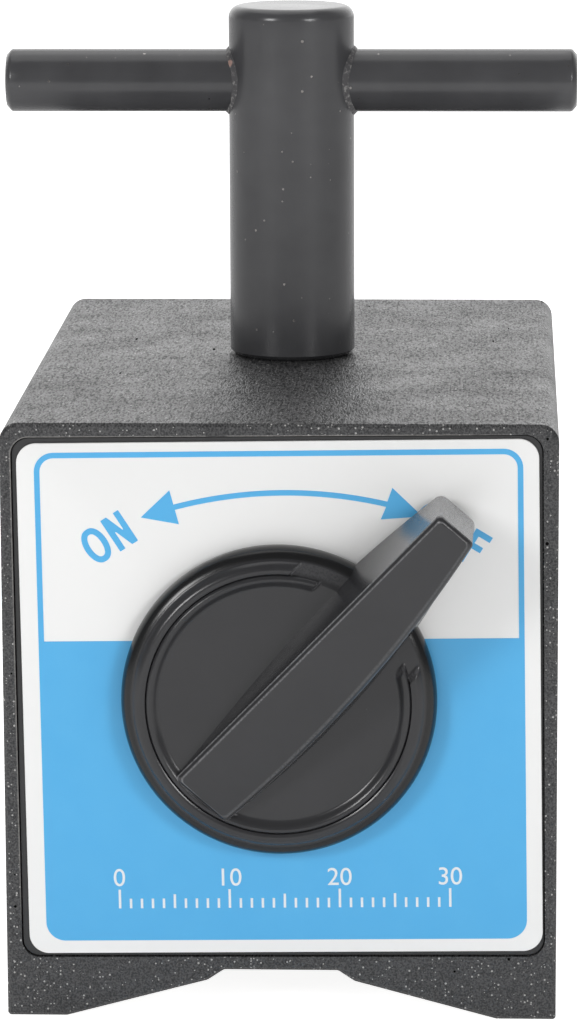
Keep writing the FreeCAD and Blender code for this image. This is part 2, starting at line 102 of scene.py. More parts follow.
def grained_paint():
    """Sprayed grained paint on iron: sandy grains, drawn out along the block and deeper on its top, where
    the spray settled, on soft lumps; bright dust, dark pits and short scratches, and a painted highlight:
    a pale line, broken up by noise, along the recess's upper and left edges. The grain's crests are
    painted lighter on the top face, for its grazing sheen. The feet are ground bare. It breaks the light into
    fine specks."""
    made, tree, place = new_material("grained_black_paint")
    grain_width = 0.17 * mm
    grain_depth = 0.1 * mm
    lump_width = 1.1 * mm
    patch_width = 7 * mm
    speck_spacing = 0.3 * mm
    speck_r = 0.1 * mm
    pit_spacing = 1.6 * mm
    pit_r = 0.19 * mm
    scratch_spacing = 2.2 * mm
    scratch_r = 0.14 * mm
    line_breakup_width = 0.5 * mm
    front_limit = -36.2 * mm
    over_bore = 53 * mm
    # Where the painted highlight along the recess edge begins and where it is full, along the upper-left
    # diagonal.
    highlight_start = 2 * mm
    highlight_full = 9 * mm
    recess_half_w = 23.8 * mm
    recess_half_h = 24.07 * mm
    recess_middle = 29.83 * mm
    recess_round = 1.6 * mm
    recess_tilt = math.radians(0.5)
    line_w = 0.13 * mm
    braze_x = -5.5 * mm
    braze_half = 1.05 * mm

    def spots(vector, spacing, rarity, radius):
        """Round spots: in the few cells whose random number passes the rarity, 1 within the radius."""
        cells = add(tree, "ShaderNodeTexVoronoi", {"Vector": vector, "Scale": 1 / spacing})
        chance = add(tree, "ShaderNodeSeparateColor", {"Color": cells.outputs["Color"]})
        reach = add(tree, "ShaderNodeMapRange", {"Value": chance, "From Min": rarity, "From Max": 1.0,
                                                 "To Min": 0.0, "To Max": radius / spacing})
        past = add(tree, "ShaderNodeMath", {0: cells, 1: reach}, operation="SUBTRACT")
        within = add(tree, "ShaderNodeMapRange", {"Value": past, "From Min": 0.0, "From Max": -0.02})
        chosen = add(tree, "ShaderNodeMath", {0: chance, 1: rarity}, operation="GREATER_THAN")
        return add(tree, "ShaderNodeMath", {0: within, 1: chosen}, operation="MULTIPLY")

    drawn = add(tree, "ShaderNodeMapping", {"Vector": place, "Scale": (1.0, 0.22, 1.0)})
    wide = add(tree, "ShaderNodeMapping", {"Vector": place, "Scale": (0.22, 0.8, 1.0)})
    grain, lump, patch, line_breakup = [
        add(tree, "ShaderNodeTexNoise",
            {"Vector": vector, "Scale": 1 / width, "Detail": detail, "Roughness": 0.6})
        for vector, width, detail in ((drawn, grain_width, 2.0), (drawn, lump_width, 3.0),
                                      (place, patch_width, 4.0), (place, line_breakup_width, 3.0))]
    speck = spots(place, speck_spacing, 0.45, speck_r)
    dent = spots(drawn, pit_spacing, 0.6, pit_r)
    scratch = spots(wide, scratch_spacing, 0.7, scratch_r)
    pit = add(tree, "ShaderNodeMath", {0: dent, 1: scratch}, operation="MAXIMUM")
    sound = add(tree, "ShaderNodeMath", {0: 1.0, 1: pit}, operation="SUBTRACT")

    # Distance from the recess's edge, a rounded rectangle: outside it the length of what is past the
    # corner's centre, inside it the nearer side.
    parts = add(tree, "ShaderNodeSeparateXYZ", {"Vector": place})
    x, y, z = parts.outputs
    tilt = math.sin(recess_tilt)
    rise = add(tree, "ShaderNodeMath", {0: z, 1: recess_middle}, operation="SUBTRACT")
    across = add(tree, "ShaderNodeMath", {0: rise, 1: tilt, 2: x}, operation="MULTIPLY_ADD")
    up = add(tree, "ShaderNodeMath", {0: x, 1: -tilt, 2: rise}, operation="MULTIPLY_ADD")
    beyond = []
    for way, half in ((across, recess_half_w), (up, recess_half_h)):
        far = add(tree, "ShaderNodeMath", {0: way}, operation="ABSOLUTE")
        beyond.append(add(tree, "ShaderNodeMath", {0: far, 1: half - recess_round}, operation="SUBTRACT"))
    past = [add(tree, "ShaderNodeMath", {0: part, 1: 0.0}, operation="MAXIMUM") for part in beyond]
    square = add(tree, "ShaderNodeMath", {0: past[1], 1: past[1]}, operation="MULTIPLY")
    square = add(tree, "ShaderNodeMath", {0: past[0], 1: past[0], 2: square}, operation="MULTIPLY_ADD")
    outside = add(tree, "ShaderNodeMath", {0: square}, operation="SQRT")
    nearer = add(tree, "ShaderNodeMath", {0: beyond[0], 1: beyond[1]}, operation="MAXIMUM")
    inside = add(tree, "ShaderNodeMath", {0: nearer, 1: 0.0}, operation="MINIMUM")
    distance = add(tree, "ShaderNodeMath", {0: outside, 1: inside}, operation="ADD")
    distance = add(tree, "ShaderNodeMath", {0: distance, 1: recess_round}, operation="SUBTRACT")
    from_edge = add(tree, "ShaderNodeMath", {0: distance}, operation="ABSOLUTE")

    in_front = add(tree, "ShaderNodeMath", {0: y, 1: front_limit}, operation="LESS_THAN")
    # Painted highlight: the pale line is kept only on the recess's upper and left edges and is broken up by
    # noise. It stands for the light caught by the rounded edge.
    corner_way = add(tree, "ShaderNodeMath", {0: up, 1: across}, operation="SUBTRACT")
    upper_left = add(tree, "ShaderNodeMapRange",
                     {"Value": corner_way, "From Min": highlight_start, "From Max": highlight_full})
    line = add(tree, "ShaderNodeMapRange",
               {"Value": from_edge, "From Min": line_w, "From Max": 0.4 * line_w})
    broken = add(tree, "ShaderNodeMapRange",
                 {"Value": line_breakup, "From Min": 0.3, "From Max": 0.5, "To Min": 0.3, "To Max": 1.0})
    painted_light_and_scuff = line
    for part in (in_front, upper_left, broken, 0.75):
        painted_light_and_scuff = add(tree, "ShaderNodeMath", {0: painted_light_and_scuff, 1: part}, operation="MULTIPLY")
    sideways = add(tree, "ShaderNodeMath", {0: x, 1: braze_x}, operation="SUBTRACT")
    from_braze = add(tree, "ShaderNodeMath", {0: sideways}, operation="ABSOLUTE")
    band = add(tree, "ShaderNodeMapRange",
               {"Value": from_braze, "From Min": braze_half, "From Max": 0.85 * braze_half})
    above = add(tree, "ShaderNodeMath", {0: z, 1: over_bore}, operation="GREATER_THAN")
    braze = band
    for part in (in_front, above):
        braze = add(tree, "ShaderNodeMath", {0: braze, 1: part}, operation="MULTIPLY")
    smoothed = add(tree, "ShaderNodeMath", {0: braze, 1: 0.7}, operation="MULTIPLY")
    coarse = add(tree, "ShaderNodeMath", {0: braze, 1: -0.8, 2: 1.0}, operation="MULTIPLY_ADD")

    facing = add(tree, "ShaderNodeTexCoord", {})
    facing = add(tree, "ShaderNodeSeparateXYZ", {"Vector": facing.outputs["Normal"]})
    level = facing.outputs["Z"]
    ground = add(tree, "ShaderNodeMapRange", {"Value": level, "From Min": -0.8, "From Max": -0.9})
    on_top = add(tree, "ShaderNodeMapRange", {"Value": level, "From Min": 0.5, "From Max": 0.9})
    on_crest = add(tree, "ShaderNodeMapRange", {"Value": grain, "From Min": 0.4, "From Max": 0.6})
    on_lump = add(tree, "ShaderNodeMapRange",
                  {"Value": lump, "From Min": 0.3, "From Max": 0.7, "To Min": 0.0, "To Max": 0.3})
    # Painted light: the grain's crests are lighter on the top face than on the front, standing for the top's
    # grazing sheen.
    coat, crest = [
        add(tree, "ShaderNodeMix",
            {"Factor": on_top, A_COLOUR: linear(front), B_COLOUR: linear(top)}, data_type="RGBA")
        for front, top in (("#28282a", "#29292a"), ("#353536", "#464647"))]
    dust = speck
    for part in (coarse, 0.9):
        dust = add(tree, "ShaderNodeMath", {0: dust, 1: part}, operation="MULTIPLY")
    # The pale #82807d mark below is the painted highlight along the recess edge.
    for share, colour in ((on_crest, crest), (on_lump, linear("#434344")), (dust, linear("#b4b3b1")),
                          (pit, linear("#101010")), (painted_light_and_scuff, linear("#82807d")),
                          (smoothed, linear("#262628")), (ground, linear("#8f8d8a"))):
        coat = add(tree, "ShaderNodeMix",
                   {"Factor": share, A_COLOUR: coat, B_COLOUR: colour}, data_type="RGBA")

    dimpled = add(tree, "ShaderNodeMath", {0: grain, 1: pit}, operation="SUBTRACT")
    dimpled = add(tree, "ShaderNodeMath", {0: dimpled, 1: coarse}, operation="MULTIPLY")
    height = add(tree, "ShaderNodeMath", {0: lump, 1: 0.6, 2: dimpled}, operation="MULTIPLY_ADD")
    deep = add(tree, "ShaderNodeMapRange", {"Value": on_top, "To Min": 0.5, "To Max": 1.0})
    bump = add(tree, "ShaderNodeBump", {"Height": height, "Distance": grain_depth, "Strength": deep})
    dull = add(tree, "ShaderNodeMapRange", {"Value": on_top, "To Min": 0.45, "To Max": 0.07})
    sheen = add(tree, "ShaderNodeMapRange",
                {"Value": grain, "From Min": 0.4, "From Max": 0.6, "To Min": dull, "To Max": 1.1})
    sheen = add(tree, "ShaderNodeMath", {0: sheen, 1: sound}, operation="MULTIPLY")
    satin = add(tree, "ShaderNodeMapRange",
                {"Value": patch, "From Min": 0.3, "From Max": 0.7, "To Min": 0.36, "To Max": 0.5})
    finish_material(tree, {"Base Color": coat, "Roughness": satin, "Specular IOR Level": sheen,
                           "Normal": bump, "Metallic": ground})
    return made


paint = grained_paint()
for node in ("pole_left", "pole_right", "spacer_top", "spacer_bottom"):
    dress(node, paint)

# Front cover: smooth enamelled steel plate in the front recess, held by four countersunk screws.
# The label hides it apart from a dark line all round.


def smooth_enamel():
    """Stoved enamel: smooth, glossy and black, with a faint orange-peel ripple."""
    made, tree, place = new_material("smooth_black_enamel")
    ripple_width = 1.2 * mm
    ripple_depth = 0.01 * mm
    ripple = add(tree, "ShaderNodeTexNoise", {"Vector": place, "Scale": 1 / ripple_width, "Detail": 1.0})
    shade = add(tree, "ShaderNodeMix",
                {"Factor": ripple, A_COLOUR: linear("#2e2e2f"), B_COLOUR: linear("#39393a")},
                data_type="RGBA")
    bump = add(tree, "ShaderNodeBump",
               {"Height": ripple, "Distance": ripple_depth, "Strength": 1.0})
    finish_material(tree, {"Base Color": shade, "Roughness": 0.4,
                           "Normal": bump})
    return made


enamel = smooth_enamel()
for node in ("front_cover", "rear_cover"):
    dress(node, enamel)

# Label: a printed film stuck on the front cover a little askew, white above and blue below,
# with a hole for the spindle under the knob. The print is a thin raised coat of ink.
label_low, label_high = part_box("label_plate")
label_w = 46.7 * mm
label_h = 47.25 * mm
label_round = 1.8 * mm
label_tilt = math.radians(0.75)
label_hole_r = 9.5 * mm
label_t = label_high.y - label_low.y
label_edge = 0.07 * mm
label_x = (label_low.x + label_high.x) / 2
label_z = (label_low.z + label_high.z) / 2


def rounded(corners, radius, steps=10):
    """Outline through the corners in order, each replaced by an arc of the given radius:
    the arc's centre lies on the corner's bisector, radius over the sine of half the angle away."""
    corners = np.array(corners, float)
    back = np.roll(corners, 1, axis=0) - corners
    ahead = np.roll(corners, -1, axis=0) - corners
    back /= np.linalg.norm(back, axis=1, keepdims=True)
    ahead /= np.linalg.norm(ahead, axis=1, keepdims=True)
    half = np.arccos(np.clip((back * ahead).sum(1), -1, 1)) / 2
    bisector = back + ahead
    bisector /= np.linalg.norm(bisector, axis=1, keepdims=True)
    radius = np.broadcast_to(np.asarray(radius, float), half.shape)
    centre = corners + bisector * (radius / np.sin(half))[:, None]
    start = corners + back * (radius / np.tan(half))[:, None] - centre
    end = corners + ahead * (radius / np.tan(half))[:, None] - centre
    share = np.linspace(0, 1, steps)[None, :, None]
    sweep = (np.pi - 2 * half)[:, None, None]
    arc = start[:, None] * np.sin((1 - share) * sweep) + end[:, None] * np.sin(share * sweep)
    return (centre[:, None] + arc / np.sin(sweep)).reshape(-1, 2)


def box_corners(width, height, x=0.0, z=0.0):
    """Corners of an upright rectangle about (x, z), anticlockwise."""
    return [(x - width / 2, z - height / 2), (x + width / 2, z - height / 2),
            (x + width / 2, z + height / 2), (x - width / 2, z + height / 2)]


def on_label(art):
    """Turns the label's own (across, up) by its tilt and moves it to its centre: returns part (x, z)."""
    across, up = art[..., 0], art[..., 1]
    x = label_x + across * math.cos(label_tilt) - up * math.sin(label_tilt)
    z = label_z + across * math.sin(label_tilt) + up * math.cos(label_tilt)
    return x, z


def skin(name, points, wrap_rows=False, wrap_columns=False, sharp=35.0, painted_light_and_scuff=None):
    """Piece whose surface is a grid of points (rows, columns, 3), with a quad between each four neighbours.
    Seams and poles are merged, faces turned outwards, and edges sharper than the angle kept crisp.
    A mark at each point tells the material how much painted light to lay on, with some scuffing: above 0
    paler, below 0 darker."""
    rows, columns = points.shape[:2]
    number = np.arange(rows * columns).reshape(rows, columns)
    if wrap_rows:
        number = np.vstack([number, number[:1]])
    if wrap_columns:
        number = np.hstack([number, number[:, :1]])
    quads = np.stack([number[:-1, :-1], number[1:, :-1], number[1:, 1:], number[:-1, 1:]], axis=-1)
    return solid(name, points.reshape(-1, 3), quads.reshape(-1, 4), sharp, painted_light_and_scuff)


def solid(name, points, faces, sharp=35.0, painted_light_and_scuff=None):
    """Piece from points and faces: doubles merged, faces outwards, smooth apart from its sharp edges."""
    mesh = bpy.data.meshes.new(name)
    mesh.from_pydata(points.tolist(), [], faces.tolist())
    if painted_light_and_scuff is not None:
        mesh.attributes.new("painted_light_and_scuff", "FLOAT", "POINT").data.foreach_set("value", painted_light_and_scuff.ravel())
    made = bmesh.new()
    made.from_mesh(mesh)
    bmesh.ops.remove_doubles(made, verts=made.verts, dist=0.0004 * mm)
    bmesh.ops.dissolve_degenerate(made, edges=made.edges, dist=0.0002 * mm)
    bmesh.ops.recalc_face_normals(made, faces=made.faces)
    made.to_mesh(mesh)
    made.free()
    mesh.shade_smooth()
    mesh.set_sharp_from_angle(angle=math.radians(sharp))
    piece = bpy.data.objects.new(name, mesh)
    bpy.context.scene.collection.objects.link(piece)
    return piece


def label_sheet():
    """Film with a hole: each row is a ray that runs from the hole over the face, round the edge by a quarter
    circle at front and back, and along the rear to the hole again. The rays go by their angle."""
    outline = rounded(box_corners(label_w, label_h), label_round, 24)
    angle = np.arctan2(outline[:, 1], outline[:, 0])
    order = np.argsort(angle)
    outer = outline[order][:, None]
    inner = label_hole_r * np.stack([np.cos(angle[order]), np.sin(angle[order])], axis=1)[:, None]
    quarter = np.linspace(0, np.pi / 2, 4)
    inset = label_edge * (1 - np.sin(quarter))
    depth = label_edge * (1 - np.cos(quarter))
    y = label_low.y + np.concatenate([[0.0], depth, label_t - depth[::-1], [label_t]])
    shrink = 1 - np.concatenate([inset, inset[::-1]]) / (label_w / 2)
    x, z = on_label(np.concatenate([inner, outer * shrink[:, None], inner], axis=1))
    points = np.stack([x, np.broadcast_to(y, x.shape), z], axis=-1)
    return skin("label_sheet", points, wrap_rows=True, wrap_columns=True)


def off_specks(tree, place, spacing, rarity, share):
    """1 but for small round specks, where it is 0. A few cells of the given spacing hold one speck each,
    and the rarer a cell's random number, the larger its speck, up to a share of the spacing."""
    cells = add(tree, "ShaderNodeTexVoronoi", {"Vector": place, "Scale": 1 / spacing})
    chance = add(tree, "ShaderNodeSeparateColor", {"Color": cells.outputs["Color"]})
    reach = add(tree, "ShaderNodeMapRange",
                {"Value": chance, "From Min": rarity, "From Max": 1.0, "To Min": 0.0, "To Max": share})
    return add(tree, "ShaderNodeMath", {0: cells, 1: reach}, operation="GREATER_THAN")


def printed_film():
    """Gloss-laminated film: bright clean white with a soft sheen and a few specks of dust."""
    made, tree, place = new_material("printed_white_film")
    speck_spacing = 1.4 * mm
    clean = off_specks(tree, place, speck_spacing, 0.985, 0.09)
    colour = add(tree, "ShaderNodeMix",
                 {"Factor": clean, A_COLOUR: linear("#5a5654"),
                  B_COLOUR: linear("#f7f7f6")}, data_type="RGBA")
    finish_material(tree, {"Base Color": colour, "Roughness": 0.32})
    return made


label_sheet_piece = label_sheet()
label_sheet_piece.data.materials.append(printed_film())
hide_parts("label_plate")
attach(label_sheet_piece, "base")

# Blue print on the label: a border line whose lower part is filled, and above it ON and OFF
# with a double-headed arrow. Screen-printed ink, a few hundredths of a millimetre thick.
ink_t = 0.03 * mm
border_w = 43.7 * mm
border_h = 45.2 * mm
border_x = 0.08 * mm
border_z = 0.17 * mm
border_line = 0.5 * mm
border_round = 1.75 * mm
divide_z = 5.5 * mm


def cut_out(loops, thickness, depth):
    """Flat piece between outlines on the label: the inside of the first without the others,
    filled with triangles front and back and joined by a wall along each outline."""
    flat = [[Vector((across, up, 0)) for across, up in loop] for loop in loops]
    triangles = np.array(tessellate_polygon(flat))
    art = np.concatenate([np.asarray(loop) for loop in loops])
    x, z = on_label(art)
    count = len(art)
    front = np.stack([x, np.full(count, depth - thickness), z], axis=1)
    back = np.stack([x, np.full(count, depth), z], axis=1)
    walls = []
    first = 0
    for loop in loops:
        here = first + np.arange(len(loop))
        ahead = np.roll(here, -1)
        walls.append(np.stack([here, ahead, ahead + count, here + count], axis=1))
        first += len(loop)
    faces = triangles.tolist() + (triangles + count).tolist() + np.concatenate(walls).tolist()
    return np.concatenate([front, back]), faces


def print_coat(name, shapes, thickness, depth):
    """One coat of ink from several flat shapes, each a list of outlines."""
    points = []
    faces = []
    first = 0
    for loops in shapes:
        shape_points, shape_faces = cut_out(loops, thickness, depth)
        points.append(shape_points)
        faces += [[first + i for i in face] for face in shape_faces]
        first += len(shape_points)
    mesh = bpy.data.meshes.new(name)
    mesh.from_pydata(np.concatenate(points).tolist(), [], faces)
    made = bmesh.new()
    made.from_mesh(mesh)
    bmesh.ops.recalc_face_normals(made, faces=made.faces)
    made.to_mesh(mesh)
    made.free()
    piece = bpy.data.objects.new(name, mesh)
    bpy.context.scene.collection.objects.link(piece)
    return piece


def border_and_field():
    """Rounded rectangle whose white window is the part above the divide, inside the border line. Its lower
    edge follows the film's hole round below, so that the spindle passes free."""
    steps = 12
    outer = rounded(box_corners(border_w, border_h, border_x, border_z), border_round, steps)
    top = border_z + border_h / 2 - border_line
    half = border_w / 2 - border_line
    window = [(border_x - half, divide_z), (border_x + half, divide_z),
              (border_x + half, top), (border_x - half, top)]
    radii = [0.02 * mm, 0.02 * mm, border_round - border_line, border_round - border_line]
    side_arcs = rounded(window, radii, steps)
    rise = math.asin(divide_z / label_hole_r)
    turn = np.linspace(math.pi - rise, 2 * math.pi + rise, 80)
    hole = label_hole_r * np.stack([np.cos(turn), np.sin(turn)], axis=1)
    return [outer, np.concatenate([side_arcs[:steps], hole, side_arcs[steps:]])]


def arrow():
    """Arc-shaped double arrow: a band along a circle between two straight-sided heads."""
    arrow_x = 0.44 * mm
    arrow_top = 18.95 * mm
    arrow_r = 39 * mm
    half_span = 12.73 * mm
    shaft = 0.5 * mm
    head_length = 3.15 * mm
    head_half = 1.6 * mm
    reach = math.asin(half_span / arrow_r)
    neck = reach - head_length / arrow_r
    right_turn = math.radians(-20.5)
    right_half = 1.53 * mm
    right_length = 3.4 * mm
    right_back = 0.43 * mm
    right_neck = neck - right_back / arrow_r
    angle = np.linspace(-neck, right_neck, 40)

    def at(radius, turn):
        return np.stack([arrow_x + radius * np.sin(turn),
                         arrow_top - arrow_r + radius * np.cos(turn)], axis=-1)

    right_shift = np.array([-0.02, 0.06]) * mm
    right_base = at(arrow_r, np.array(right_neck)) + right_shift
    forward = np.array([math.cos(right_turn), math.sin(right_turn)])
    sideways = np.array([-forward[1], forward[0]])
    right = [right_base + sideways * right_half, right_base + forward * right_length,
             right_base - sideways * right_half]
    left = [at(arrow_r - head_half, np.array(-neck)), at(arrow_r, np.array(-reach)),
            at(arrow_r + head_half, np.array(-neck))]
    upper = at(arrow_r + shaft / 2, angle)
    lower = at(arrow_r - shaft / 2, angle[::-1])
    return [np.concatenate([upper, right, lower, left])]


letter_h = 3.3 * mm
letter_stroke = 0.55 * mm


def letter_o():
    """Ring between two tall ovals, each a circle stretched upwards."""
    turn = np.linspace(0, 2 * np.pi, 40, endpoint=False)
    half_w = 1.1 * mm
    half_h = letter_h / 2 + 0.03 * mm
    unit = np.stack([np.sign(np.cos(turn)) * np.abs(np.cos(turn)) ** 0.85, np.sin(turn)], axis=1)
    return [unit * [half_w, half_h], (unit * [half_w - letter_stroke, half_h - letter_stroke])[::-1]]


def letter_n():
    """Two uprights joined by a diagonal from upper left to lower right."""
    half_w = 0.95 * mm
    half_h = letter_h / 2
    stroke = letter_stroke
    shoulder = 2.4 * stroke
    slant = 0.12 * stroke
    corners = [(-half_w, -half_h), (-half_w + stroke, -half_h), (-half_w + stroke, half_h - shoulder),
               (half_w - stroke - slant, -half_h), (half_w, -half_h), (half_w, half_h),
               (half_w - stroke, half_h), (half_w - stroke, -half_h + shoulder),
               (-half_w + stroke + slant, half_h), (-half_w, half_h)]
    return [rounded(corners, 0.1 * stroke, 4)]


def letter_f():
    """Upright with a bar at its top and a shorter one at its middle."""
    half_w = 0.85 * mm
    half_h = letter_h / 2
    stroke = letter_stroke
    middle = 0.12 * mm
    reach = 0.7 * half_w
    corners = [(-half_w, -half_h), (-half_w + stroke, -half_h), (-half_w + stroke, middle - stroke / 2),
               (reach, middle - stroke / 2), (reach, middle + stroke / 2),
               (-half_w + stroke, middle + stroke / 2), (-half_w + stroke, half_h - stroke),
               (half_w, half_h - stroke), (half_w, half_h), (-half_w, half_h)]
    return [rounded(corners, 0.08 * stroke, 4)]


def lettered(letters, middle, spacing, turn):
    """Letters side by side on a slanting line about its middle."""
    along = np.array([math.cos(turn), math.sin(turn)])
    across = np.array([-math.sin(turn), math.cos(turn)])
    placed = []
    for i, letter in enumerate(letters):
        centre = np.array(middle) + along * spacing * (i - (len(letters) - 1) / 2)
        placed.append([centre + loop[:, :1] * along + loop[:, 1:] * across for loop in letter()])
    return placed


def blue_ink():
    """Screen-printed blue ink: flat and even, a touch mottled, with a satin surface."""
    made, tree, place = new_material("printed_blue_ink")
    mottle_width = 3 * mm
    mottle = add(tree, "ShaderNodeTexNoise", {"Vector": place, "Scale": 1 / mottle_width, "Detail": 3.0})
    colour = add(tree, "ShaderNodeMix",
                 {"Factor": mottle, A_COLOUR: linear("#52b3ec"), B_COLOUR: linear("#5ab9ef")},
                 data_type="RGBA")
    finish_material(tree, {"Base Color": colour, "Roughness": 0.34})
    return made


word_spacing = 2.47 * mm
word_turn = math.radians(32.0)
on_word = lettered([letter_o, letter_n], (-15.3 * mm, 14.96 * mm), word_spacing, word_turn)
off_word = lettered([letter_o, letter_f, letter_f], (15.48 * mm, 15.04 * mm), word_spacing,
                    -word_turn)
blue_print = print_coat("label_blue_print", [border_and_field(), arrow(), *on_word, *off_word],
                        ink_t, label_low.y)
blue_print.data.materials.append(blue_ink())
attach(blue_print, "base")

# Millimetre scale in white ink across the blue field: short, middle and long strokes with plain
# numbers over the tens, screen-printed as a second coat on the blue.
scale_length = 30
scale_z = -19.4 * mm
tick_w = 0.22 * mm
tick_heights = {10: 1.75 * mm, 5: 1.3 * mm, 1: 0.9 * mm}
digit_h = 1.7 * mm
digit_gap = 0.35 * mm
digit_share = 0.73


def ticks():
    """A stroke at each millimetre: the longest at tens, the next at fives."""
    strokes = []
    for count in range(scale_length + 1):
        height = next(tick_heights[step] for step in (10, 5, 1) if count % step == 0)
        x = (count - scale_length / 2) * mm
        strokes.append([np.array(box_corners(tick_w, height, x, scale_z + height / 2))])
    return strokes


def digits():
    """Plain numbers over the tens, from the built-in sans, as a flat mesh placed on the label."""
    faces = []
    points = []
    first = 0
    for count in range(0, scale_length + 1, 10):
        text = bpy.data.curves.new("number", "FONT")
        text.body = str(count)
        text.align_x = "CENTER"
        text.size = digit_h / digit_share
        text.extrude = ink_t / 2
        letter = bpy.data.objects.new("number", text)
        bpy.context.scene.collection.objects.link(letter)
        shape = bpy.data.meshes.new_from_object(letter.evaluated_get(bpy.context.evaluated_depsgraph_get()))
        flat = np.empty(len(shape.vertices) * 3)
        shape.vertices.foreach_get("co", flat)
        flat = flat.reshape(-1, 3)
        art = flat[:, :2] + [(count - scale_length / 2) * mm, scale_z + tick_heights[10] + digit_gap]
        x, z = on_label(art)
        points.append(np.stack([x, label_low.y - 1.5 * ink_t - flat[:, 2], z], axis=1))
        faces += [[first + i for i in p.vertices] for p in shape.polygons]
        first += len(flat)
        bpy.data.objects.remove(letter)
        bpy.data.meshes.remove(shape)
        bpy.data.curves.remove(text)
    return np.concatenate(points), faces


def white_ink():
    """Opaque white ink over the blue, a little less white than the film."""
    made, tree, place = new_material("printed_white_ink")
    grain_width = 0.4 * mm
    grain = add(tree, "ShaderNodeTexNoise", {"Vector": place, "Scale": 1 / grain_width})
    colour = add(tree, "ShaderNodeMix",
                 {"Factor": grain, A_COLOUR: linear("#e6edf2"), B_COLOUR: linear("#f4f6f7")},
                 data_type="RGBA")
    finish_material(tree, {"Base Color": colour, "Roughness": 0.36})
    return made


white = white_ink()
tick_piece = print_coat("label_scale_strokes", ticks(), ink_t, label_low.y - ink_t)
digit_points, digit_faces = digits()
digit_mesh = bpy.data.meshes.new("label_scale_numbers")
digit_mesh.from_pydata(digit_points.tolist(), [], digit_faces)
digit_piece = bpy.data.objects.new("label_scale_numbers", digit_mesh)
bpy.context.scene.collection.objects.link(digit_piece)
for piece in (tick_piece, digit_piece):
    piece.data.materials.append(white)
    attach(piece, "base")

# Knob: one black moulding, a stepped disc with two rounded beads round a flat floor,
# and a tapered lever that climbs from its tail over the rim to its tip.
knob_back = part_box("knob")[1].y
knob_z = 30 * mm
disc_r = 14.2 * mm
disc_edge = 0.7 * mm
wall_bow = 0.2 * mm
shoulder_r = 13.1 * mm
shoulder_out = 2.0 * mm
valley_r = 11.9 * mm
valley_out = 2.5 * mm
valley_notch = 0.22 * mm
notch_half = 0.06 * mm
floor_r = 10.7 * mm
floor_out = 2.25 * mm
outer_bead = 0.3 * mm
inner_bead = 0.3 * mm
outer_bead_stop = (6.8 * mm, 6.9 * mm)
inner_bead_stop = (4.4 * mm, 5.8 * mm)
bead_end_ramp = (0.3 * mm, 0.7 * mm)
lever_angle = math.radians(41.2)
lever_tip = 23.9 * mm
lever_tail = 11.3 * mm
lever_waist = 6.0 * mm
lever_lift = 0.8 * mm
tail_top = 3.15 * mm
tip_top = 10.8 * mm
lever_bevel = 0.4 * mm
lever_corner = 0.9 * mm
lever_top_corner = 0.45 * mm
top_left = np.array([1.65, 2.05, 2.5]) * mm
top_right = np.array([2.5, 4.2, 3.6]) * mm
foot_left = np.array([1.8, 4.1, 3.1]) * mm
foot_right = np.array([2.9, 5.9, 4.3]) * mm


def in_knob(u, v, out):
    """Lever's own (along, left, out) as part coordinates."""
    x = u * math.sin(lever_angle) - v * math.cos(lever_angle)
    z = knob_z + u * math.cos(lever_angle) + v * math.sin(lever_angle)
    return np.stack(np.broadcast_arrays(x, knob_back - out, z), axis=-1)


def half_width(u, widths):
    """Curve of second degree through the half-widths at the lever's tip, waist and tail."""
    stations = (lever_tip - lever_corner, lever_waist, -lever_tail + lever_corner)
    total = 0
    for i, width in enumerate(widths):
        part = width
        for j, station in enumerate(stations):
            if j != i:
                part = part * (u - station) / (stations[i] - station)
        total = total + part
    return total


def disc_profile():
    """Radius and height of the disc from the middle of its back, over wall, beads and floor to the axis.
    The wall and the outer bead are a straight line between their feet plus a parabola that is highest
    halfway; the inner bead is steep outside and runs out softly on the floor; they meet in a narrow notch."""
    share = np.linspace(0, 1, 17)
    arch = 4 * share * (1 - share)
    skewed = 6.75 * share * (1 - share) ** 2
    soft = np.array([0.0, 0.3, 0.7, 1.0])
    edge = 0.12 * mm

    def line(start, end):
        return [start[i] + (end[i] - start[i]) * share for i in (0, 1)]

    wall = line((disc_r, disc_edge), (shoulder_r, shoulder_out))
    wall = [part + wall_bow * arch for part in wall]
    bead_one = line((shoulder_r, shoulder_out), (valley_r + notch_half, valley_out))
    bead_one[1] = bead_one[1] + outer_bead * arch
    bead_two = line((valley_r - notch_half, valley_out), (floor_r, floor_out))
    bead_two[1] = bead_two[1] + inner_bead * skewed
    radius = np.concatenate([[0, disc_r - edge], disc_r - edge * (1 - soft[1:]) ** 2, wall[0],
                             bead_one[0][1:], [valley_r], bead_two[0],
                             [floor_r - edge, 0.7 * floor_r, 0.35 * floor_r, 0]])
    out = np.concatenate([[0, 0], edge * soft[1:] ** 2, wall[1], bead_one[1][1:],
                          [valley_out - valley_notch], bead_two[1], np.full(4, floor_out)])
    return radius, out


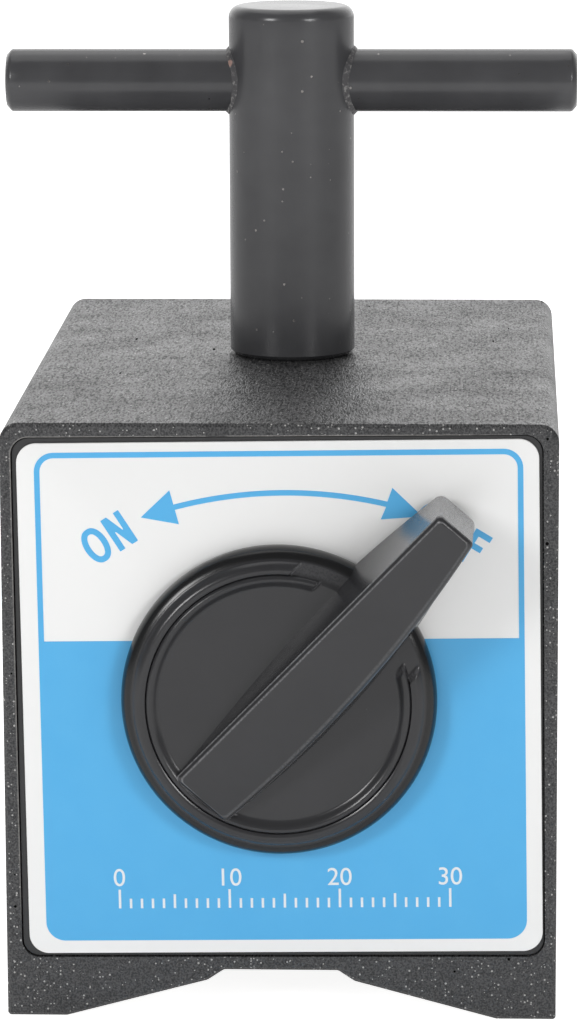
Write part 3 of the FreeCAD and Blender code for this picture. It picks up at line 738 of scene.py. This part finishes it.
def knob_disc():
    """The profile turned about the axis. On the side of the lever's tip each bead sinks over a short ramp
    where it comes within its own distance of the lever's middle line. The ramps and the facet beside the
    lever carry painted highlights, stronger on the left, and the rim wall a painted shade."""
    radius, out = disc_profile()
    turn = np.linspace(0, 2 * np.pi, 1080, endpoint=False)
    r = radius[:, None]
    u = r * np.cos(turn)
    v = r * np.sin(turn)
    outer = r > valley_r
    stop_left = np.where(outer, outer_bead_stop[0], inner_bead_stop[0])
    stop_right = np.where(outer, outer_bead_stop[1], inner_bead_stop[1])
    past = np.maximum((v - stop_left) / bead_end_ramp[0], (-v - stop_right) / bead_end_ramp[1])
    kept = np.where(u > 0, np.clip(past, 0, 1), 1.0)
    kept = kept * kept * (3 - 2 * kept)
    sunk = np.interp(r, [floor_r, valley_r - bead_end_ramp[0], shoulder_r],
                     [floor_out, floor_out, shoulder_out])
    plain = np.minimum(out[:, None], sunk)
    height = plain + (out[:, None] - plain) * kept
    lift = np.clip((out[:, None] - plain) / outer_bead, 0, 1)
    # Painted highlights: pale spots where the beads end, stronger on the left, and a pale facet beside the
    # lever.
    ends = 4 * kept * (1 - kept) * lift * np.where(v > 0, 1.0, 0.5)
    facet = 0.2 * (1 - kept) * np.clip((r - valley_r) / (0.4 * mm), 0, 1) * (v > 0)
    # Painted shade: the rim wall's mark is set below 0, so that the material darkens it.
    rim = np.clip((r - shoulder_r - 0.05 * mm) / (0.2 * mm), 0, 1)
    return skin("knob_disc", in_knob(u, v, height), wrap_columns=True, sharp=40,
                painted_light_and_scuff=(ends + facet) * (1 - rim) - rim)


def lever_ring(inset, flare):
    """Outline of the lever: its half-widths lie between the top's (flare 0) and the foot's (flare 1),
    drawn in by an inset."""
    left = top_left + (foot_left - top_left) * flare
    right = top_right + (foot_right - top_right) * flare
    corner = lever_top_corner + (lever_corner - lever_top_corner) * flare
    tip = lever_tip - inset
    tail = -lever_tail + inset
    side_u = tail + corner + (tip - tail - 2 * corner) * np.linspace(1, 0, 110)
    quarter = np.linspace(0, np.pi / 2, 9)[1:-1]
    cross = np.linspace(-1, 1, 13)

    def side(u, widths):
        return half_width(u, widths) - inset

    left_tip = side(tip - corner, left)
    right_tip = side(tip - corner, right)
    left_tail = side(tail + corner, left)
    right_tail = side(tail + corner, right)
    u = np.concatenate([
        np.full(len(cross), tip), tip - corner + corner * np.cos(quarter), side_u,
        tail + corner - corner * np.sin(quarter), np.full(len(cross), tail),
        tail + corner - corner * np.cos(quarter), side_u[::-1], tip - corner + corner * np.sin(quarter),
    ])
    v = np.concatenate([
        (right_tip - corner) * -(cross + 1) / 2 + (left_tip - corner) * (1 - cross) / 2,
        -(right_tip - corner + corner * np.sin(quarter)), -side(side_u, right),
        -(right_tail - corner + corner * np.cos(quarter)),
        (left_tail - corner) * (cross + 1) / 2 - (right_tail - corner) * (1 - cross) / 2,
        left_tail - corner + corner * np.sin(quarter), side(side_u[::-1], left),
        left_tip - corner + corner * np.cos(quarter),
    ])
    return u, v


def lever():
    """Rings from the foot up the walls, over a narrow bevel and in to the middle of the top, which is
    crowned a little. The bevel's two edges carry pale lines, stronger on the left: painted highlights with
    some scuffing. The walls are painted paler more and more towards the tip, a painted reflection."""
    slope = (tip_top - tail_top) / (lever_tip + lever_tail)
    crown = 0.12 * mm
    line_half = 0.05 * mm
    # Where the walls start to be painted paler towards the tip, a painted reflection of the light from above.
    tip_light_start = 14 * mm
    foot_flare = 0.75
    rings = []
    painted_light_and_scuff = []

    def top_at(u):
        return tail_top + slope * (u + lever_tail)

    # Each ring carries two marks. The first is pale lines, painted highlights with some scuffing, made
    # fainter on the right. The second is a painted reflection that pales the walls.
    def lay(u, v, out, line=0.0, pale_share=0.0):
        rings.append(in_knob(u, v, out))
        painted_light_and_scuff.append(line * np.where(v > 0, 1.0, 0.35) + pale_share * np.ones_like(u))

    # Painted reflection: the walls grow paler from that point to the tip.
    def worn(u):
        return 1.2 * np.clip((u - tip_light_start) / (lever_tip - tip_light_start), 0, 1) ** 1.5

    u, v = lever_ring(0, foot_flare)
    for share in (0.0, 0.5):
        lay(u, v * share, lever_lift + 0 * u)
    for level in np.concatenate([[0.0, 0.1, 0.2], np.linspace(0.26, 1, 40)[:-1]]):
        u, v = lever_ring(0, foot_flare * (1 - level) ** 1.5)
        lay(u, v, lever_lift + (top_at(u) - lever_bevel - crown - lever_lift) * level, 0.0, worn(u))
    # Painted highlights: pale lines at the bevel's edges and just inside the top's edge.
    for drop, mark in ((2.5 * line_half, 0.0), (line_half, 1.2), (0.0, 1.4)):
        u, v = lever_ring(0, 0.0)
        lay(u, v, top_at(u) - lever_bevel - crown - drop, mark)
    for share, mark in ((0.14, 1.2), (0.3, 0.0), (0.7, 0.0), (0.86, 0.8), (1.0, 0.9)):
        u, v = lever_ring(lever_bevel * share, 0.0)
        lay(u, v, top_at(u) - crown - lever_bevel * (1 - share) ** 1.4, mark)
    for share in (0.975, 0.94, 0.8, 0.6, 0.4, 0.2, 0.0):
        lay(u, v * share, top_at(u) - crown * share * share, 0.6 if share > 0.95 else 0.0)
    return skin("knob_lever", np.stack(rings), wrap_columns=True, sharp=30, painted_light_and_scuff=np.stack(painted_light_and_scuff))


def satin_moulding():
    """Moulded ABS, black: satin, with a faint spark texture, soft flow marks and a few pale specks; paler
    where the mark is above 0, painted highlights with some scuffing, and darker on the rim wall, a painted
    shade."""
    made, tree, place = new_material("moulded_black_abs")
    spark_width = 0.18 * mm
    spark_depth = 0.003 * mm
    flow_width = 7 * mm
    speck_spacing = 1.6 * mm
    spark = add(tree, "ShaderNodeTexNoise", {"Vector": place, "Scale": 1 / spark_width, "Detail": 2.0})
    flow = add(tree, "ShaderNodeTexNoise", {"Vector": place, "Scale": 1 / flow_width, "Detail": 3.0})
    clean = off_specks(tree, place, speck_spacing, 0.93, 0.07)
    body = add(tree, "ShaderNodeMix",
               {"Factor": flow, A_COLOUR: linear("#2b2b2d"), B_COLOUR: linear("#353537")},
               data_type="RGBA")
    edges = add(tree, "ShaderNodeAttribute", {}, attribute_name="painted_light_and_scuff")
    # Painted shade: where the mark is below 0, on the rim wall, the colour is darkened.
    rim_painted_shade = add(tree, "ShaderNodeMapRange",
                {"Value": edges.outputs["Fac"], "From Min": 0.0, "From Max": -1.0})
    body = add(tree, "ShaderNodeMix",
               {"Factor": rim_painted_shade, A_COLOUR: body,
                B_COLOUR: linear("#101011")}, data_type="RGBA")
    # Paler where the mark is above 0: painted highlights and a painted reflection, with some scuffing on the
    # bevel's edges.
    pale_share = add(tree, "ShaderNodeMapRange",
               {"Value": spark, "From Min": 0.3, "From Max": 0.6,
                "To Min": 0.25, "To Max": 0.75})
    pale = add(tree, "ShaderNodeMath",
               {0: edges.outputs["Fac"], 1: pale_share}, operation="MULTIPLY")
    worn = add(tree, "ShaderNodeMix",
               {"Factor": pale, A_COLOUR: body,
                B_COLOUR: linear("#8a8a8c")}, data_type="RGBA")
    colour = add(tree, "ShaderNodeMix",
                 {"Factor": clean, A_COLOUR: linear("#77777a"),
                  B_COLOUR: worn}, data_type="RGBA")
    roughness = add(tree, "ShaderNodeMapRange",
                    {"Value": flow, "To Min": 0.2, "To Max": 0.27})
    bump = add(tree, "ShaderNodeBump",
               {"Height": spark, "Distance": spark_depth, "Strength": 1.0})
    finish_material(tree, {"Base Color": colour,
                           "Roughness": roughness, "Normal": bump})
    return made


moulding = satin_moulding()
for piece in (knob_disc(), lever()):
    piece.data.materials.append(moulding)
    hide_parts("knob")
    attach(piece, "rotor")

# Cross-handle: a turned post screwed into the block's top, and a round bar through it,
# both blackened in an oxide bath.
post_low, post_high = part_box("handle_post")
post_r = 6.0 * mm
post_x = (post_low.x + post_high.x) / 2
post_y = (post_low.y + post_high.y) / 2
block_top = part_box("pole_left")[1].z
post_top = post_high.z
post_round = 1.1 * mm
post_bevel = 0.5 * mm
stud_r = 4.0 * mm
stud_bevel = 0.6 * mm


def turned(name, radius, height, place, steps=160, sharp=35.0):
    """A profile of radius and height turned about an upright axis."""
    turn = np.linspace(0, 2 * np.pi, steps, endpoint=False)
    x = place[0] + radius[:, None] * np.cos(turn)
    y = place[1] + radius[:, None] * np.sin(turn)
    z = np.broadcast_to(height[:, None], x.shape)
    return skin(name, np.stack([x, y, z], axis=-1), wrap_columns=True, sharp=sharp)


def post():
    """Stud, bevelled foot, straight side and a quarter round over to the flat top."""
    quarter = np.linspace(0, np.pi / 2, 12)
    stud_end = post_low.z
    side = np.linspace(block_top + post_bevel, post_top - post_round, 30)
    soft = 0.08 * mm
    radius = np.concatenate([[0, stud_r - stud_bevel, stud_r, stud_r, post_r - post_bevel - soft],
                             [post_r - post_bevel, post_r - soft], np.full(len(side), post_r),
                             post_r - post_round * (1 - np.cos(quarter[1:])),
                             [0.7 * post_r, 0.35 * post_r, 0]])
    height = np.concatenate([[stud_end, stud_end, stud_end + stud_bevel, block_top, block_top],
                             [block_top + 0.2 * soft, block_top + post_bevel - soft], side,
                             post_top - post_round + post_round * np.sin(quarter[1:]),
                             [post_top, post_top, post_top]])
    return turned("handle_post_turned", radius, height, (post_x, post_y))


def black_oxide():
    """Turned steel blackened in an oxide bath: a dark satin coat, so no bare metal but in the small bright
    chips where the coat has come away, with cloudy patches and a fine grain."""
    made, tree, place = new_material("black_oxide_steel")
    cloud_width = 5 * mm
    grain_width = 0.2 * mm
    grain_depth = 0.006 * mm
    chip_spacing = 0.9 * mm
    cloud = add(tree, "ShaderNodeTexNoise", {"Vector": place, "Scale": 1 / cloud_width, "Detail": 2.0})
    grain = add(tree, "ShaderNodeTexNoise", {"Vector": place, "Scale": 1 / grain_width, "Detail": 2.0})
    whole = off_specks(tree, place, chip_spacing, 0.55, 0.15)
    chip_metal = add(tree, "ShaderNodeMath", {0: 1.0, 1: whole}, operation="SUBTRACT")
    oxide = add(tree, "ShaderNodeMix",
                {"Factor": cloud, A_COLOUR: linear("#3a3a3c"), B_COLOUR: linear("#505052")},
                data_type="RGBA")
    colour = add(tree, "ShaderNodeMix",
                 {"Factor": whole, A_COLOUR: linear("#898684"),
                  B_COLOUR: oxide}, data_type="RGBA")
    roughness = add(tree, "ShaderNodeMapRange",
                    {"Value": cloud, "To Min": 0.17, "To Max": 0.29})
    bump = add(tree, "ShaderNodeBump",
               {"Height": grain, "Distance": grain_depth, "Strength": 1.0})
    finish_material(tree, {"Base Color": colour, "Metallic": chip_metal,
                           "Roughness": roughness, "Normal": bump})
    return made


oxide_steel = black_oxide()
post_piece = post()
post_piece.data.materials.append(oxide_steel)
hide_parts("handle_post")
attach(post_piece, "base")

# Cross-bar: cold-drawn round bar pushed through the post, its ends bevelled on the lathe,
# with the same black oxide as the post.
bar_low, bar_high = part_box("cross_bar")
bar_r = 3.0 * mm
bar_bevel = 0.5 * mm
bar_z = (bar_low.z + bar_high.z) / 2


def bar():
    """A profile of radius and distance along the bar turned about its axis."""
    turn = np.linspace(0, 2 * np.pi, 96, endpoint=False)
    soft = 0.08 * mm
    ends = np.array([0, 0, 0.15 * soft, bar_bevel - soft, bar_bevel + soft])
    end_radius = np.array([0, bar_r - bar_bevel - soft, bar_r - bar_bevel, bar_r - 0.6 * soft, bar_r])
    plain = np.linspace(bar_low.x + 4 * bar_bevel, bar_high.x - 4 * bar_bevel, 24)
    along = np.concatenate([bar_low.x + ends, plain, (bar_high.x - ends)[::-1]])
    radius = np.concatenate([end_radius, np.full(len(plain), bar_r), end_radius[::-1]])
    y = post_y + radius[:, None] * np.cos(turn)
    z = bar_z + radius[:, None] * np.sin(turn)
    x = np.broadcast_to(along[:, None], y.shape)
    return skin("cross_bar_drawn", np.stack([x, y, z], axis=-1), wrap_columns=True)


bar_piece = bar()
bar_piece.data.materials.append(oxide_steel)
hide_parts("cross_bar")
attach(bar_piece, "base")

# Weld beads: a small fillet of weld on each side where the bar enters the post, laid by hand, so lumpy,
# and blackened with the rest.
weld_w = 0.42 * mm
weld_sunk = 0.5 * mm
weld_waves = (2, 3, 5, 7, 9, 13, 17)
weld_fine_waves = (11, 19, 27)


def weld(side, lumps, seed):
    """Ring round the bar: its section runs from the post's surface in a lumpy bow to the bar and back
    inside. The lumps are a sum of waves round the ring with random phases."""
    turn = np.linspace(0, 2 * np.pi, 240, endpoint=False)[:, None]
    bow = np.linspace(0, 1, 14)[None, :]
    random = np.random.default_rng(seed)
    waves = sum(np.sin(k * turn + random.uniform(0, 2 * np.pi)) / math.sqrt(k) for k in weld_waves)
    fine = sum(np.sin(k * turn + random.uniform(0, 2 * np.pi) + 9 * bow) for k in weld_fine_waves) / 3
    size = 1 - lumps * (0.5 + 0.5 * np.tanh(waves))
    rise = weld_w * size * (1 - bow) ** 1.3
    climb = weld_w * size * bow ** 1.3
    bulge = weld_w * (0.16 * size + 0.1 * lumps * fine) * np.sin(np.pi * bow)
    across = bar_r + rise + 0.7 * bulge
    wall = np.sqrt(np.maximum(post_r ** 2 - (across * np.cos(turn)) ** 2, 0))
    out = wall - 0.02 * mm + climb + 0.7 * bulge
    hidden = np.concatenate([across[:, -1:], across[:, :1]], axis=1) - weld_sunk
    hidden_wall = np.sqrt(post_r ** 2 - (hidden * np.cos(turn)) ** 2)
    hidden_out = np.concatenate([out[:, -1:] - 0.3 * mm, hidden_wall[:, 1:] - 0.6 * mm], axis=1)
    across = np.concatenate([across, hidden], axis=1)
    out = np.concatenate([out, hidden_out], axis=1)
    points = np.stack([post_x + side * out, post_y + across * np.cos(turn),
                       bar_z + across * np.sin(turn)], axis=-1)
    name = "weld_left" if side < 0 else "weld_right"
    return skin(name, points, wrap_rows=True, wrap_columns=True, sharp=60)


def burnt_weld():
    """Weld metal under black oxide: rough, with pale crumbs on its crests and one spot, high on the left,
    that is still copper-coloured from the heat."""
    made, tree, place = new_material("blackened_weld")
    crumb_width = 0.35 * mm
    crumb_depth = 0.06 * mm
    spot_r = 0.4 * mm
    spot = (post_x - 5.75 * mm, post_y - 2.4 * mm, bar_z + 1.85 * mm)
    crumb = add(tree, "ShaderNodeTexNoise",
                {"Vector": place, "Scale": 1 / crumb_width, "Detail": 3.0, "Roughness": 0.6})
    away = add(tree, "ShaderNodeVectorMath", {0: place, 1: spot}, operation="DISTANCE")
    crest = add(tree, "ShaderNodeMapRange",
                {"Value": crumb, "From Min": 0.5, "From Max": 0.66})
    heat = add(tree, "ShaderNodeMapRange",
               {"Value": away, "From Min": spot_r, "From Max": 0.6 * spot_r})
    oxide = add(tree, "ShaderNodeMix",
                {"Factor": crest, A_COLOUR: linear("#444345"),
                 B_COLOUR: linear("#858382")}, data_type="RGBA")
    colour = add(tree, "ShaderNodeMix",
                 {"Factor": heat, A_COLOUR: oxide,
                  B_COLOUR: linear("#c7a79d")}, data_type="RGBA")
    bump = add(tree, "ShaderNodeBump",
               {"Height": crumb, "Distance": crumb_depth, "Strength": 1.0})
    finish_material(tree, {"Base Color": colour, "Metallic": heat,
                           "Roughness": 0.5, "Normal": bump})
    return made


weld_metal = burnt_weld()
for side, lumps, seed in ((-1, 0.45, 4), (1, 0.2, 9)):
    bead = weld(side, lumps, seed)
    bead.data.materials.append(weld_metal)
    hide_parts("weld_beads")
    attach(bead, "base")

# Inside and behind: zinc-plated screws, brass bushes and washer, hardened spring and stop pin, and the
# rotor of aluminium discs, strips and rods round a ferrite magnet between soft-iron segments, all
# turned or milled, with a felt seal round the spindle.


def bare_metal(name, dark, light, roughness, mark_width, depth):
    """Bare machined metal: colour between two close shades and fine marks, both from noise."""
    made, tree, place = new_material(name)
    marks = add(tree, "ShaderNodeTexNoise",
                {"Vector": place, "Scale": 1 / mark_width, "Detail": 3.0})
    colour = add(tree, "ShaderNodeMix",
                 {"Factor": marks, A_COLOUR: linear(dark), B_COLOUR: linear(light)},
                 data_type="RGBA")
    bump = add(tree, "ShaderNodeBump",
               {"Height": marks, "Distance": depth, "Strength": 1.0})
    finish_material(tree, {"Base Color": colour, "Metallic": 1.0,
                           "Roughness": roughness, "Normal": bump})
    return made


zinc = bare_metal("zinc_plated_steel", "#b9bcc0", "#d2d4d6", 0.32, 0.4 * mm, 0.004 * mm)
brass = bare_metal("turned_brass", "#b5904a", "#d1ad66", 0.35, 0.3 * mm, 0.006 * mm)
spring = bare_metal("hardened_steel", "#8d8f92", "#a9abad", 0.38, 0.3 * mm, 0.005 * mm)
aluminium = bare_metal("turned_aluminium", "#c9cbcd", "#dddfe0", 0.34, 0.35 * mm, 0.006 * mm)
iron = bare_metal("machined_soft_iron", "#8a8886", "#a3a19f", 0.45, 0.4 * mm, 0.01 * mm)
for node in ("front_cover_screws", "rear_cover_screws"):
    dress(node, zinc)
for node in ("front_bush", "rear_bush", "thrust_washer"):
    dress(node, brass)
for node in ("stop_pin", "disc_spring"):
    dress(node, spring)
for node in ("rotor_front_disc", "rotor_rear_disc", "rotor_side_strips", "rotor_tie_rods"):
    dress(node, aluminium)
for node in ("rotor_pole_upper", "rotor_pole_lower"):
    dress(node, iron)


def sintered_ferrite():
    """Sintered ferrite: dull charcoal ceramic with a fine gritty grain."""
    made, tree, place = new_material("sintered_ferrite")
    grit_width = 0.3 * mm
    grit = add(tree, "ShaderNodeTexNoise", {"Vector": place, "Scale": 1 / grit_width, "Detail": 4.0})
    colour = add(tree, "ShaderNodeMix",
                 {"Factor": grit, A_COLOUR: linear("#38383a"), B_COLOUR: linear("#4b4b4e")},
                 data_type="RGBA")
    bump = add(tree, "ShaderNodeBump",
               {"Height": grit, "Distance": 0.02 * mm, "Strength": 1.0})
    finish_material(tree, {"Base Color": colour, "Roughness": 0.7,
                           "Normal": bump})
    return made


def pressed_felt():
    """Pressed wool felt: soft grey, matt, with a tangle of fine hairs."""
    made, tree, place = new_material("pressed_grey_felt")
    hair_width = 0.15 * mm
    hair = add(tree, "ShaderNodeTexNoise",
               {"Vector": place, "Scale": 1 / hair_width, "Detail": 5.0, "Distortion": 2.0})
    colour = add(tree, "ShaderNodeMix",
                 {"Factor": hair, A_COLOUR: linear("#8b8985"), B_COLOUR: linear("#b4b2ac")},
                 data_type="RGBA")
    bump = add(tree, "ShaderNodeBump",
               {"Height": hair, "Distance": 0.05 * mm, "Strength": 1.0})
    finish_material(tree, {"Base Color": colour, "Roughness": 0.95,
                           "Normal": bump})
    return made


dress("magnet", sintered_ferrite())
dress("spindle_seal", pressed_felt())

# Studio: a plain pale floor, a white room that is darker towards the camera, two soft boxes beside
# the camera and a large one overhead.


def studio_floor():
    """Large flat sheet that the object stands on, faintly lit from below like a light table."""
    half = 3.0
    drop = -0.05 * mm
    corners = np.array(box_corners(2 * half, 2 * half))
    points = np.column_stack([corners, np.full(len(corners), drop)])
    floor = solid("studio_floor", points, np.array([[0, 1, 2, 3]]))
    made, tree, place = new_material("pale_floor")
    tone = add(tree, "ShaderNodeTexNoise", {"Vector": place, "Scale": 3.0})
    colour = add(tree, "ShaderNodeMix",
                 {"Factor": tone, A_COLOUR: linear("#f2f2f2"), B_COLOUR: linear("#f6f6f6")},
                 data_type="RGBA")
    seen = add(tree, "ShaderNodeLightPath", {})
    glow = add(tree, "ShaderNodeMapRange",
               {"Value": seen.outputs["Is Camera Ray"], "To Min": 0.3, "To Max": 0.85})
    finish_material(tree, {"Base Color": colour, "Roughness": 0.8,
                           "Emission Color": linear("#ffffff"), "Emission Strength": glow})
    floor.data.materials.append(made)


def soft_box(name, place, aim, size, power):
    """Square area light at a place, turned to face a point: places and size in metres, power in watts."""
    light = bpy.data.lights.new(name, "AREA")
    light.shape = "SQUARE"
    light.size = size
    light.energy = power
    holder = bpy.data.objects.new(name, light)
    holder.location = place
    holder.rotation_euler = (Vector(aim) - Vector(place)).to_track_quat("-Z", "Y").to_euler()
    bpy.context.scene.collection.objects.link(holder)


studio_floor()
middle = (0, 0, 45 * mm)
soft_box("soft_box_left", (-0.62, -0.8, 0.42), middle, 0.26, 3.2)
soft_box("soft_box_right", (0.62, -0.8, 0.36), middle, 0.26, 2.6)
soft_box("soft_box_top", (-0.1, 0.25, 1.0), middle, 0.8, 2.2)

world = bpy.data.worlds.new("white_room")
world.use_nodes = True
room = world.node_tree
room.nodes.clear()
room_place = add(room, "ShaderNodeTexCoord", {})
parts = add(room, "ShaderNodeSeparateXYZ", {"Vector": room_place.outputs["Generated"]})
depth = add(room, "ShaderNodeMapRange",
            {"Value": parts.outputs["Y"], "From Min": 0.3, "From Max": 0.9, "To Min": 0.22, "To Max": 1.55})
seen = add(room, "ShaderNodeLightPath", {})
brightness = add(room, "ShaderNodeMix",
                 {0: seen.outputs["Is Camera Ray"], 2: depth, 3: 1.0}, data_type="FLOAT")
background = add(room, "ShaderNodeBackground",
                 {"Color": linear("#ffffff"), "Strength": brightness})
add(room, "ShaderNodeOutputWorld", {"Surface": background})
bpy.context.scene.world = world
bpy.context.scene.view_settings.view_transform = "Standard"

# Camera: a long lens a little above the knob and to its right, as the photograph was taken, with its
# focal length in pixels of the picture's height.
camera_place = Vector((19.9, -462.3, 132.2)) * mm
camera_pitch = math.radians(11.3)
camera_yaw = math.radians(-2.54)
camera_roll = math.radians(-0.25)
focal_pixels = 4867
picture_height = 1024
sensor = 36.0

ahead = Vector((math.sin(camera_yaw) * math.cos(camera_pitch),
                math.cos(camera_yaw) * math.cos(camera_pitch), -math.sin(camera_pitch)))
level_right = Vector((math.cos(camera_yaw), -math.sin(camera_yaw), 0))
level_up = level_right.cross(ahead)
right = level_right * math.cos(camera_roll) + level_up * math.sin(camera_roll)
up = right.cross(ahead)
lens = bpy.data.cameras.new("camera")
lens.sensor_width = sensor
lens.lens = focal_pixels / picture_height * sensor
lens.clip_start = 0.01
camera = bpy.data.objects.new("camera", lens)
camera.matrix_world = Matrix((right, up, -ahead)).transposed().to_4x4()
camera.location = camera_place
bpy.context.scene.collection.objects.link(camera)
bpy.context.scene.camera = camera
